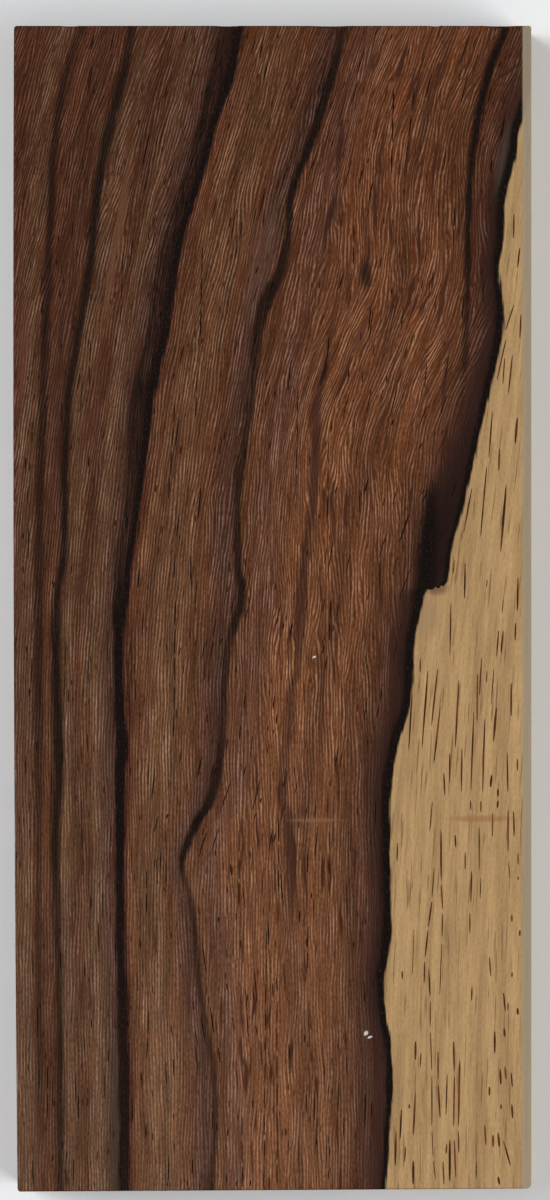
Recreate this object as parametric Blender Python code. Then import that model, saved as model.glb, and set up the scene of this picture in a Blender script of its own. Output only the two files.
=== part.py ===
"""Flat sawn specimen of rosewood, lying on its back with the planed face up.

Metres, +Z up. The origin is the middle of the back face's bounding box.
The grain runs along Y, and the edge with the pale sapwood is at +X.
The block is one piece of wood, so it is one solid.
"""

import math

import bmesh
import bpy

# Driving dimensions, in metres
LENGTH = 0.1500             # along the grain, at the left edge
WIDTH = 0.0667              # across the grain, at the widest place
THICKNESS = 0.0120

# The saw cuts are not quite true
END_SKEW = 0.0004           # the lower end slants up this much from left to right
LEFT_HOLLOW = 0.00056       # the left edge draws in this much at the lower end
LEFT_CREST_Y = 0.0333       # where along the grain the left edge stands out furthest
EDGE_STEPS = 8              # stretches that the left edge's curve is made of
SAME_PLACE = 1e-6           # points closer than this are one place

# Rounding of the edges, where the sander broke them
ARRIS_ROUND = 0.0014        # right edge of the planed face, rubbed round
ARRIS_EASED = 0.00035       # every other long edge
CORNER_LOWER_RIGHT = 0.0006
CORNER_LOWER_LEFT = 0.0004
CORNER_UPPER_LEFT = 0.0004
CORNER_UPPER_RIGHT = 0.0003
ROUND_SEGMENTS = 4

# Splinters lost from the upper end of the planed face: middle in X, length, depth
CHIPS = (
    (-0.0261, 0.0027, 0.00032),
    (-0.0058, 0.0033, 0.00042),
    (0.0074, 0.0052, 0.00038),
    (0.0209, 0.0015, 0.00030),
    (0.0293, 0.0046, 0.00045),
)
CHIP_HEIGHT = 0.0011        # how far a splinter reaches down the end grain

WOOD_COLOUR = (0.110, 0.047, 0.026, 1.0)
WOOD_ROUGHNESS = 0.55


def clear_scene():
    """Start from an empty scene."""
    for item in list(bpy.data.objects):
        bpy.data.objects.remove(item, do_unlink=True)


def wood_material():
    """Planed and unvarnished rosewood, in the mean colour of its heartwood."""
    material = bpy.data.materials.new("rosewood")
    material.use_nodes = True
    shader = material.node_tree.nodes["Principled BSDF"]
    shader.inputs["Base Color"].default_value = WOOD_COLOUR
    shader.inputs["Roughness"].default_value = WOOD_ROUGHNESS
    shader.inputs["Metallic"].default_value = 0.0
    return material


def left_edge_x(y):
    """X of the left edge at a place along the grain: a shallow curve."""
    reach = LEFT_CREST_Y + LENGTH / 2
    return -WIDTH / 2 + LEFT_HOLLOW * ((y - LEFT_CREST_Y) / reach) ** 2


def outline_points():
    """Corners of the back face, seen from above and running anticlockwise."""
    top = LENGTH / 2
    bottom = -LENGTH / 2
    points = [(WIDTH / 2, bottom + END_SKEW), (WIDTH / 2, top)]
    for step in range(EDGE_STEPS + 1):
        y = top - LENGTH * step / EDGE_STEPS
        points.append((left_edge_x(y), y))
    return points


def corner_radius(x, y):
    """Radius of the upright edge that stands at one corner of the outline."""
    if x > 0:
        return CORNER_UPPER_RIGHT if y > 0 else CORNER_LOWER_RIGHT
    if y > LENGTH / 2 - SAME_PLACE:
        return CORNER_UPPER_LEFT
    if y < -LENGTH / 2 + SAME_PLACE:
        return CORNER_LOWER_LEFT
    return 0.0


def edge_radius(edge):
    """Radius that one edge of the sawn blank is eased to."""
    first, second = (vert.co for vert in edge.verts)
    if abs(first.z - second.z) > THICKNESS / 2:
        return corner_radius(first.x, first.y)
    along_right = min(first.x, second.x) > WIDTH / 2 - SAME_PLACE
    if along_right and first.z > THICKNESS / 2:
        return ARRIS_ROUND
    return ARRIS_EASED


def sawn_blank():
    """The block as sawn, with the radius of each edge kept as a bevel weight."""
    bm = bmesh.new()
    back = bm.faces.new([bm.verts.new((x, y, 0.0)) for x, y in outline_points()])
    grown = bmesh.ops.extrude_face_region(bm, geom=[back])
    upper = [item for item in grown["geom"] if isinstance(item, bmesh.types.BMVert)]
    bmesh.ops.translate(bm, verts=upper, vec=(0.0, 0.0, THICKNESS))
    bmesh.ops.recalc_face_normals(bm, faces=bm.faces)
    weight = bm.edges.layers.float.new("bevel_weight_edge")
    for edge in bm.edges:
        edge[weight] = edge_radius(edge) / ARRIS_ROUND
    mesh = bpy.data.meshes.new("rosewood_block")
    bm.to_mesh(mesh)
    bm.free()
    block = bpy.data.objects.new("rosewood_block", mesh)
    bpy.context.scene.collection.objects.link(block)
    return block


def chip_cutter():
    """Long shallow scoops, one for each splinter that is gone from the upper end."""
    bm = bmesh.new()
    for middle, length, depth in CHIPS:
        scoop = bmesh.ops.create_icosphere(bm, subdivisions=2, radius=1.0)["verts"]
        bmesh.ops.scale(bm, verts=scoop, vec=(length / 2, depth, CHIP_HEIGHT))
        bmesh.ops.translate(bm, verts=scoop, vec=(middle, LENGTH / 2, THICKNESS))
    mesh = bpy.data.meshes.new("chip_cutter")
    bm.to_mesh(mesh)
    bm.free()
    cutter = bpy.data.objects.new("chip_cutter", mesh)
    bpy.context.scene.collection.objects.link(cutter)
    cutter.hide_render = True
    cutter.display_type = "WIRE"
    return cutter


def rosewood_block():
    """The finished block: sawn, its edges eased, and chipped at the upper end."""
    block = sawn_blank()
    block.data.materials.append(wood_material())
    block.data.shade_smooth()
    block.data.set_sharp_from_angle(angle=math.radians(40))

    easing = block.modifiers.new("eased edges", "BEVEL")
    easing.limit_method = "WEIGHT"
    easing.width = ARRIS_ROUND
    easing.segments = ROUND_SEGMENTS

    chipping = block.modifiers.new("lost splinters", "BOOLEAN")
    chipping.operation = "DIFFERENCE"
    chipping.solver = "EXACT"
    chipping.object = chip_cutter()
    return block


clear_scene()
rosewood_block()
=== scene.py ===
import math
import random

import bpy
from mathutils import Matrix, Vector


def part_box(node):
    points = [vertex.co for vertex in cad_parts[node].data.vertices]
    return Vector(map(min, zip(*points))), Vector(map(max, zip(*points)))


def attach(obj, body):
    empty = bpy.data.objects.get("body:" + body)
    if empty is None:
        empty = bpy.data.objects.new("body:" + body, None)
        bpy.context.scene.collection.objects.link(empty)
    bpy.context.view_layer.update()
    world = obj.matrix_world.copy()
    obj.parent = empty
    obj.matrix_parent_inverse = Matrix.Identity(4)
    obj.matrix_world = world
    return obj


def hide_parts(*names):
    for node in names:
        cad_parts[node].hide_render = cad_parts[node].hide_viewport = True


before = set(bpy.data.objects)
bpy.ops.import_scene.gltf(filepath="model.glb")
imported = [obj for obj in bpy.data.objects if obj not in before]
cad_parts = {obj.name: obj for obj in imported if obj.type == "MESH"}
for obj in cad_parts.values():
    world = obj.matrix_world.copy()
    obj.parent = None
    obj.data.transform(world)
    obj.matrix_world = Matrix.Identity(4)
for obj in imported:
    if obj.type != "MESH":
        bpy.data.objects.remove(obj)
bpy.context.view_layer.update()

# The rosewood block
# One flat piece of Burmese rosewood, heartwood with a strip of pale sapwood down its right side.
# It was sawn from a board, its show face was planed, its edges were broken with sandpaper, and it
# was left without any varnish.

MM = 0.001
BLOCK_LOW, BLOCK_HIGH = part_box("rosewood_block")
THICKNESS_MM = (BLOCK_HIGH.z - BLOCK_LOW.z) / MM
END_MM = BLOCK_HIGH.y / MM
SIDE_MM = BLOCK_HIGH.x / MM

# Each dark vein, as it runs over the show face from the upper end to the lower one.
# A station is (along the grain, across the grain, half width, darkness), in mm but for the last.
OUTER_VEIN = (
    (75.0, -24.7, 0.32, 0.45), (68.0, -26.7, 0.35, 0.60), (61.6, -27.8, 0.38, 0.72),
    (46.1, -28.7, 0.38, 0.75), (30.1, -29.4, 0.42, 0.76), (10.1, -30.0, 0.45, 0.74),
    (-5.3, -30.1, 0.48, 0.66), (-31.0, -30.1, 0.38, 0.55), (-58.0, -29.9, 0.32, 0.50),
    (-66.0, -29.8, 0.30, 0.10), (-75.0, -29.6, 0.30, 0.00),
)
SECOND_VEIN = (
    (75.0, -17.8, 0.35, 0.75), (68.4, -19.2, 0.45, 0.85), (60.3, -21.3, 0.55, 0.90),
    (52.6, -22.6, 0.45, 0.90), (43.6, -23.5, 0.40, 0.85), (31.1, -25.6, 0.35, 0.85),
    (26.8, -26.2, 0.35, 0.90), (13.3, -26.7, 0.35, 0.90), (6.5, -26.8, 0.30, 0.90),
    (1.1, -27.7, 0.35, 0.90), (-5.3, -27.8, 0.40, 0.90), (-19.5, -27.4, 0.45, 0.90),
    (-31.0, -27.8, 0.35, 0.85), (-43.9, -27.6, 0.35, 0.80), (-58.0, -27.3, 0.30, 0.80),
    (-75.0, -27.3, 0.30, 0.75),
)
MAIN_VEIN = (
    (75.0, -5.2, 1.60, 0.95), (68.1, -6.6, 1.60, 1.00), (62.5, -8.3, 1.25, 1.00),
    (56.8, -9.8, 1.30, 1.00), (48.1, -12.6, 1.40, 1.00), (39.1, -14.3, 1.55, 0.95),
    (34.6, -14.9, 1.45, 1.00), (27.7, -16.6, 1.60, 1.00), (20.6, -17.3, 1.35, 1.00),
    (12.8, -18.1, 1.10, 1.00), (4.9, -19.3, 1.15, 1.00), (1.4, -19.5, 1.05, 1.00),
    (-0.9, -19.7, 0.85, 1.00), (-4.3, -19.8, 0.60, 1.00), (-10.0, -19.7, 0.64, 1.00),
    (-17.0, -19.5, 0.72, 1.00), (-24.6, -19.6, 0.62, 1.00), (-40.0, -19.6, 0.58, 0.96),
    (-50.0, -19.3, 0.64, 0.94), (-57.0, -19.2, 0.70, 0.92), (-63.8, -19.0, 0.72, 0.92),
    (-75.0, -19.1, 0.66, 0.92),
)
WANDERING_VEIN = (
    (75.0, 9.4, 0.45, 0.80), (66.3, 6.9, 0.60, 0.95), (59.1, 4.6, 0.50, 0.95),
    (52.6, 2.3, 0.35, 0.90), (48.1, 2.1, 0.35, 0.85), (43.1, 0.8, 0.60, 0.85),
    (41.0, -0.2, 0.85, 0.90), (36.8, -1.6, 0.70, 0.85), (27.7, -2.6, 0.45, 0.70),
    (19.0, -3.9, 0.50, 0.75), (12.2, -4.6, 0.50, 0.80), (5.4, -4.4, 0.45, 0.85),
    (2.4, -3.9, 0.55, 0.90), (-2.2, -4.9, 0.50, 0.84), (-5.7, -5.8, 0.42, 0.74),
    (-14.7, -6.4, 0.45, 0.70), (-18.8, -6.7, 0.50, 0.80), (-24.6, -8.0, 0.62, 0.90),
    (-27.3, -9.6, 0.60, 0.95), (-30.4, -11.0, 0.45, 0.95), (-33.1, -11.6, 0.35, 0.90),
    (-35.9, -11.0, 0.30, 0.60), (-38.1, -10.4, 0.35, 0.60), (-43.2, -9.9, 0.35, 0.70),
    (-53.7, -8.6, 0.30, 0.60), (-58.2, -7.7, 0.35, 0.60), (-66.0, -7.4, 0.35, 0.65),
    (-75.0, -7.8, 0.30, 0.65),
)
INNER_VEIN = (
    (75.0, 30.2, 0.42, 0.95), (69.7, 28.1, 0.48, 0.98), (62.5, 26.4, 0.42, 0.97),
    (52.8, 25.3, 0.36, 0.93), (37.1, 25.0, 0.30, 0.72), (26.8, 24.2, 0.30, 0.25),
    (15.0, 19.5, 0.20, 0.00), (5.0, 15.8, 0.20, 0.00), (-10.0, 12.5, 0.20, 0.00),
    (-25.0, 10.2, 0.20, 0.00), (-75.0, 9.4, 0.20, 0.00),
)
PLUM_STREAK = (
    (75.0, 15.0, 0.20, 0.00), (40.0, 8.8, 0.30, 0.00), (35.9, 7.7, 0.35, 0.60),
    (30.1, 6.6, 0.40, 0.72), (26.2, 5.7, 0.50, 0.76), (17.8, 5.5, 0.48, 0.76),
    (7.7, 4.4, 0.48, 0.74), (1.4, 3.7, 0.60, 0.76), (-7.9, 3.3, 0.38, 0.56),
    (-10.2, 2.5, 0.45, 0.55), (-15.7, 1.9, 0.55, 0.60), (-23.3, 1.4, 0.55, 0.60),
    (-29.0, 2.2, 0.65, 0.75), (-36.0, 2.4, 0.45, 0.60), (-44.0, 1.8, 0.40, 0.15),
    (-75.0, 1.2, 0.40, 0.00),
)
TOOTH_VEIN = (
    (75.0, 24.0, 0.20, 0.00), (20.0, 21.4, 0.30, 0.00), (15.5, 20.6, 0.40, 0.60),
    (12.7, 20.3, 0.55, 0.95), (8.2, 20.0, 0.70, 1.00), (4.3, 19.8, 0.80, 1.00),
    (2.0, 19.4, 0.80, 1.00), (0.2, 19.0, 0.60, 0.00), (-75.0, 19.0, 0.20, 0.00),
)

# Where heartwood meets sapwood: (along, across, width of the black border, width of its plum haze)
SAPWOOD_EDGE = (
    (75.0, 36.0, 0.50, 1.6), (69.3, 34.3, 0.60, 1.8), (65.4, 32.9, 1.40, 2.4),
    (61.9, 31.9, 1.60, 2.6), (57.0, 31.0, 1.50, 3.0), (52.6, 29.9, 1.60, 3.4),
    (48.1, 29.8, 1.40, 3.6), (44.0, 29.2, 1.20, 3.6), (39.1, 29.6, 1.30, 4.0), (36.8, 29.7, 1.60, 4.2),
    (33.4, 29.3, 1.50, 5.0), (30.1, 28.5, 1.40, 6.0), (23.9, 27.0, 1.15, 7.0),
    (16.7, 25.4, 1.10, 7.5), (11.0, 24.0, 0.90, 7.5), (8.1, 23.1, 0.80, 7.0),
    (4.3, 22.6, 0.80, 6.5), (3.1, 22.4, 0.90, 6.0), (2.5, 19.9, 1.20, 5.0),
    (0.6, 19.3, 1.60, 5.0), (-4.5, 18.3, 1.60, 5.0), (-12.4, 17.7, 1.60, 5.4),
    (-16.9, 16.4, 1.60, 5.2), (-22.5, 15.3, 1.50, 4.6), (-27.2, 15.1, 1.50, 4.2),
    (-40.0, 15.3, 1.60, 4.4), (-44.1, 15.0, 1.50, 4.6), (-46.7, 14.5, 1.40, 4.4),
    (-50.3, 14.4, 1.20, 4.0), (-54.8, 15.1, 1.20, 4.4), (-59.3, 15.5, 1.20, 5.2),
    (-66.1, 15.2, 1.05, 5.4), (-75.0, 14.6, 1.00, 4.6),
)

VEIN_RANGES = (70.0, 8.0, 1.0)      # what the full height of a curve stands for, for each value of a station
EDGE_RANGES = (70.0, 8.0, 8.0)

# The rings lean over as they go down into the wood, more so towards the sapwood
LEAN_LEFT = 0.22
LEAN_RIGHT = 0.55


def add_node(tree, kind, inputs=None, **settings):
    """A shader node. Each input is given by its identifier, as a number or as a socket to join."""
    node = tree.nodes.new(kind)
    for name, value in settings.items():
        setattr(node, name, value)
    for name, value in (inputs or {}).items():
        socket = next(item for item in node.inputs if item.identifier == name)
        if isinstance(value, bpy.types.NodeSocket):
            tree.links.new(value, socket)
        else:
            socket.default_value = value
    return node


def reckon(tree, operation, *values):
    """One sum on numbers or sockets."""
    names = ("Value", "Value_001", "Value_002")
    return add_node(tree, "ShaderNodeMath", dict(zip(names, values)), operation=operation).outputs[0]


def product(tree, first, *others):
    """Numbers or sockets, all multiplied together."""
    for other in others:
        first = reckon(tree, "MULTIPLY", first, other)
    return first


def shaken(tree, value, noise, reach):
    """The value, moved to and fro by a noise."""
    return reckon(tree, "MULTIPLY_ADD", reckon(tree, "SUBTRACT", noise, 0.5), reach, value)


def scaled(tree, vector, factor):
    """A colour or a place, times one number."""
    inputs = {"Vector": vector, "Scale": factor}
    return add_node(tree, "ShaderNodeVectorMath", inputs, operation="SCALE").outputs[0]


def rise(tree, value, low, high, start=0.0, end=1.0):
    """Goes smoothly from start to end as value goes from low to high."""
    inputs = {"Value": value, "From Min": low, "From Max": high, "To Min": start, "To Max": end}
    node = add_node(tree, "ShaderNodeMapRange", inputs, interpolation_type="SMOOTHSTEP")
    return node.outputs[0]


def slope(tree, value, low, high, start=0.0, end=1.0):
    """Goes evenly from start to end as value goes from low to high, and no further."""
    inputs = {"Value": value, "From Min": low, "From Max": high, "To Min": start, "To Max": end}
    return add_node(tree, "ShaderNodeMapRange", inputs).outputs[0]


def stain(tree, mask, under, over, way="MIX"):
    """Colour over laid on colour under where the mask says so."""
    inputs = {"Factor_Float": mask, "A_Color": under, "B_Color": over}
    node = add_node(tree, "ShaderNodeMix", inputs, data_type="RGBA", blend_type=way)
    return next(item for item in node.outputs if item.identifier == "Result_Color")


def point_at(tree, x, y, z, spacing=(1.0, 1.0, 1.0)):
    """A place made of three numbers or sockets, measured in steps of the spacing."""
    place = add_node(tree, "ShaderNodeCombineXYZ", {"X": x, "Y": y, "Z": z}).outputs[0]
    inputs = {"Vector": place, "Vector_001": spacing}
    return add_node(tree, "ShaderNodeVectorMath", inputs, operation="DIVIDE").outputs[0]


def noise_at(tree, place, spacing, detail=2.0, roughness=0.5):
    """Soft random value, near one half on average, in patches as large as the spacing."""
    steps = point_at(tree, *place, spacing)
    inputs = {"Vector": steps, "Scale": 1.0, "Detail": detail, "Roughness": roughness}
    return add_node(tree, "ShaderNodeTexNoise", inputs).outputs[0]


def drawn_curve(tree, along, stations, ranges):
    """Reads a list of stations: its three values for a place along, each one scaled to its range."""
    node = add_node(tree, "ShaderNodeRGBCurve", {"Color": along})
    ordered = sorted(stations)
    for channel in range(3):
        curve = node.mapping.curves[channel]
        for station in ordered[1:-1]:
            curve.points.new(station[0], station[channel + 1])
        for point, station in zip(curve.points, ordered):
            share = station[channel + 1] / ranges[channel]
            share += 0.5 if channel == 0 else 0.0
            point.location = (station[0] / (2 * END_MM) + 0.5, share)
            point.handle_type = "AUTO_CLAMPED"
    node.mapping.update()
    parts = add_node(tree, "ShaderNodeSeparateColor", {"Color": node.outputs[0]}).outputs
    across = reckon(tree, "MULTIPLY_ADD", parts[0], ranges[0], -ranges[0] / 2)
    return across, product(tree, parts[1], ranges[1]), product(tree, parts[2], ranges[2])


def vein_mask(tree, across, vein, soft_left, soft_right):
    """Dark from half a width left of a vein's middle to half a width right, with soft sides."""
    centre, half_width, darkness = vein
    offset = reckon(tree, "SUBTRACT", across, centre)
    left = rise(tree, reckon(tree, "ADD", offset, half_width), -soft_left, 0.25)
    right = rise(tree, reckon(tree, "SUBTRACT", offset, half_width), -0.25, soft_right, 1.0, 0.0)
    return product(tree, left, right, darkness)


def mark_mask(tree, place, middle, half_width, half_length, lean):
    """One at the middle of an oval mark on the show face, none outside it."""
    inputs = {
        "Vector": place, "Location": (*middle, 0.0), "Rotation": (0.0, 0.0, math.radians(-lean)),
        "Scale": (half_width, half_length, 1.5),
    }
    own = add_node(tree, "ShaderNodeMapping", inputs, vector_type="TEXTURE").outputs[0]
    away = add_node(tree, "ShaderNodeVectorMath", {"Vector": own}, operation="LENGTH").outputs["Value"]
    return rise(tree, away, 0.35, 1.15, 1.0, 0.0)


def marked(tree, colour, place, marks):
    """The colour, with a list of oval marks laid over it."""
    for *shape, tint, strength in marks:
        mask = product(tree, mark_mask(tree, place, *shape), strength)
        colour = stain(tree, mask, colour, tint)
    return colour


# Tints of the wood, as the parts of red, green and blue light that it gives back
OLIVE = (0.169, 0.0945, 0.0525, 1.0)
TAN = (0.193, 0.1002, 0.0515, 1.0)
BROWN = (0.168, 0.0759, 0.0372, 1.0)
RED_BROWN = (0.242, 0.1070, 0.0490, 1.0)
RUST = (0.129, 0.0570, 0.0295, 1.0)
PINK = (0.181, 0.0881, 0.0540, 1.0)
GREY_PLUM = (0.110, 0.0568, 0.0392, 1.0)
PLUM = (0.099, 0.0346, 0.0201, 1.0)
SLIT_RED = (0.050, 0.0165, 0.0085, 1.0)
DARK_PLUM = (0.036, 0.013, 0.0090, 1.0)
BLACK_PLUM = (0.0150, 0.0066, 0.0052, 1.0)
VEIN_BLACK = (0.0050, 0.0024, 0.0018, 1.0)
VEIN_DUST = (0.032, 0.024, 0.020, 1.0)
PORE_BLACK = (0.010, 0.004, 0.003, 1.0)
SMOKE = (0.054, 0.036, 0.028, 1.0)
UMBER = (0.045, 0.030, 0.020, 1.0)
SAP_PALE = (0.455, 0.287, 0.134, 1.0)
SAP_DEEP = (0.315, 0.190, 0.086, 1.0)
SAP_SHADE = (0.28, 0.175, 0.098, 1.0)
SAP_BRUISE = (0.080, 0.036, 0.024, 1.0)
SAP_SCUFF = (0.27, 0.120, 0.052, 1.0)
SAP_THREAD = (0.17, 0.075, 0.030, 1.0)
FAINT_VESSEL = (0.150, 0.080, 0.032, 1.0)
# The grey of the rounded right arris is painted shade, where that edge turns away from the light
ARRIS_PAINTED_SHADE = (0.320, 0.265, 0.180, 1.0)
FLECK_WHITE = (0.62, 0.60, 0.57, 1.0)

# Factors on those tints: at the lower and the upper end, between and on the pale lines, and on end grain
LOWER_TINGE = (1.05, 1.06, 1.06, 1.0)
UPPER_TINGE = (0.74, 0.64, 0.60, 1.0)
BETWEEN_LINES = (0.50, 0.36, 0.25, 1.0)
ON_LINES = (1.50, 1.80, 2.25, 1.0)
END_GRIME = (0.62, 0.55, 0.50, 1.0)

# Bands of tint from the left edge to the sapwood, by ring. The five veins lie on the first five of these
# rings, and the sapwood starts at the last one.
VEIN_RINGS = (-30.0, -26.8, -18.5, -5.0, 13.5, 19.0)
BANDS = (
    (-34.0, RUST), (-31.8, OLIVE), (-30.0, RUST), (-28.8, RUST), (-27.4, RUST), (-25.6, OLIVE),
    (-23.8, RUST), (-21.6, OLIVE), (-19.8, GREY_PLUM), (-17.6, PLUM), (-16.4, BROWN), (-14.0, TAN),
    (-11.0, TAN), (-9.0, BROWN), (-6.4, GREY_PLUM), (-4.2, BROWN), (-1.8, PINK), (1.0, RED_BROWN),
    (5.2, RED_BROWN), (7.2, BROWN), (9.2, RED_BROWN), (13.0, BROWN), (14.2, RUST), (19.0, GREY_PLUM),
)
RING_FIRST = BANDS[0][0]
RING_LAST = BANDS[-1][0]

# Ovals of another tint: middle (x, y), half width, half length, lean in degrees, tint, strength
HEART_MARKS = (
    ((-26.9, 33.0), 1.70, 26.0, 4.0, DARK_PLUM, 0.42),
    ((-24.0, 54.2), 0.45, 8.5, 7.8, DARK_PLUM, 0.70),
    ((-27.2, 35.2), 0.40, 9.0, 3.5, DARK_PLUM, 0.50),
    ((-19.9, 47.4), 0.70, 14.0, 9.0, RUST, 0.60),
    ((-32.1, 31.4), 0.80, 8.0, 6.0, PLUM, 0.60),
    ((-1.5, 44.9), 1.90, 9.0, 12.0, GREY_PLUM, 0.38),
    ((16.7, 70.4), 0.36, 3.8, 15.5, DARK_PLUM, 0.92),
    ((18.5, 66.3), 0.32, 3.2, 12.4, DARK_PLUM, 0.90),
    ((30.2, 69.0), 0.30, 2.6, 54.5, DARK_PLUM, 0.90),
    ((13.2, 52.0), 0.40, 4.2, 1.5, DARK_PLUM, 0.75),
    ((8.7, 59.6), 0.45, 4.8, 7.0, DARK_PLUM, 0.92),
    ((7.4, 50.6), 0.50, 5.2, 14.0, DARK_PLUM, 0.92),
    ((18.8, 47.6), 0.20, 4.2, 0.0, DARK_PLUM, 0.90),
    ((12.0, 43.0), 1.00, 2.7, -1.0, BLACK_PLUM, 0.82),
    ((11.3, 35.2), 0.60, 2.6, 25.0, PLUM, 0.70),
    ((6.6, 30.6), 0.36, 2.6, 8.5, VEIN_BLACK, 0.75),
    ((22.1, 28.4), 0.30, 4.7, 5.0, DARK_PLUM, 0.70),
    ((21.5, 21.0), 0.40, 5.2, 8.0, PLUM, 0.75),
    ((23.3, 17.5), 2.40, 9.0, 14.0, BLACK_PLUM, 0.55),
    ((21.3, 8.0), 2.90, 11.0, 14.0, BLACK_PLUM, 1.0),
    ((7.5, -1.1), 0.24, 4.6, 0.0, DARK_PLUM, 0.85),
    ((30.2, 57.7), 1.50, 6.5, 10.0, SMOKE, 0.80),
    ((-2.9, -39.4), 0.60, 3.2, 0.0, PLUM, 0.60),
    ((-4.0, -51.5), 0.16, 4.2, -1.5, DARK_PLUM, 0.80),
    ((-8.3, -30.4), 0.90, 0.7, 0.0, RUST, 0.60),
    ((-10.0, -35.6), 0.55, 2.0, 0.0, OLIVE, 0.40),
    ((-20.3, -68.0), 1.00, 15.0, 0.0, UMBER, 0.62),
    ((5.5, -27.2), 3.90, 0.35, 0.0, TAN, 0.70),
)
SAP_MARKS = (
    ((19.8, -1.0), 2.60, 3.2, 0.0, SAP_SHADE, 0.45),
    ((21.1, 2.7), 1.80, 1.2, 0.0, SAP_BRUISE, 0.65),
    ((26.8, -27.0), 5.00, 0.55, 0.0, SAP_SCUFF, 0.60),
    ((24.0, 7.0), 0.15, 6.4, 8.0, SAP_THREAD, 0.75),
)
FLECKS = (
    ((12.0, -54.6), 0.26, 0.40, 20.0), ((12.5, -55.1), 0.40, 0.16, -20.0),
    ((5.4, -6.2), 0.36, 0.14, -20.0),
)

LINES_PER_MM = (2.70, 2.35)     # fine pale lines, counted across the grain at the left and right edges
LINE_STRETCH = 6.0              # how much longer than wide the patches are that the lines run true in
LINE_PATCH = 0.75
LINE_SHARE = 0.28               # how much of the wood the pale lines take up
GRAIN_UPRIGHT = -19.6           # below this place the grain stands upright, and above it leans ever more
GRAIN_LEAN = 0.0017
SAP_LEAN = 0.09                 # the sapwood's grain leans by the first of these and bends by the second
SAP_BEND = 0.0006
WOOD_SHINE = 0.05
FIBRE_HEIGHT = 0.04             # how far the fibres stand up from the surface


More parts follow.
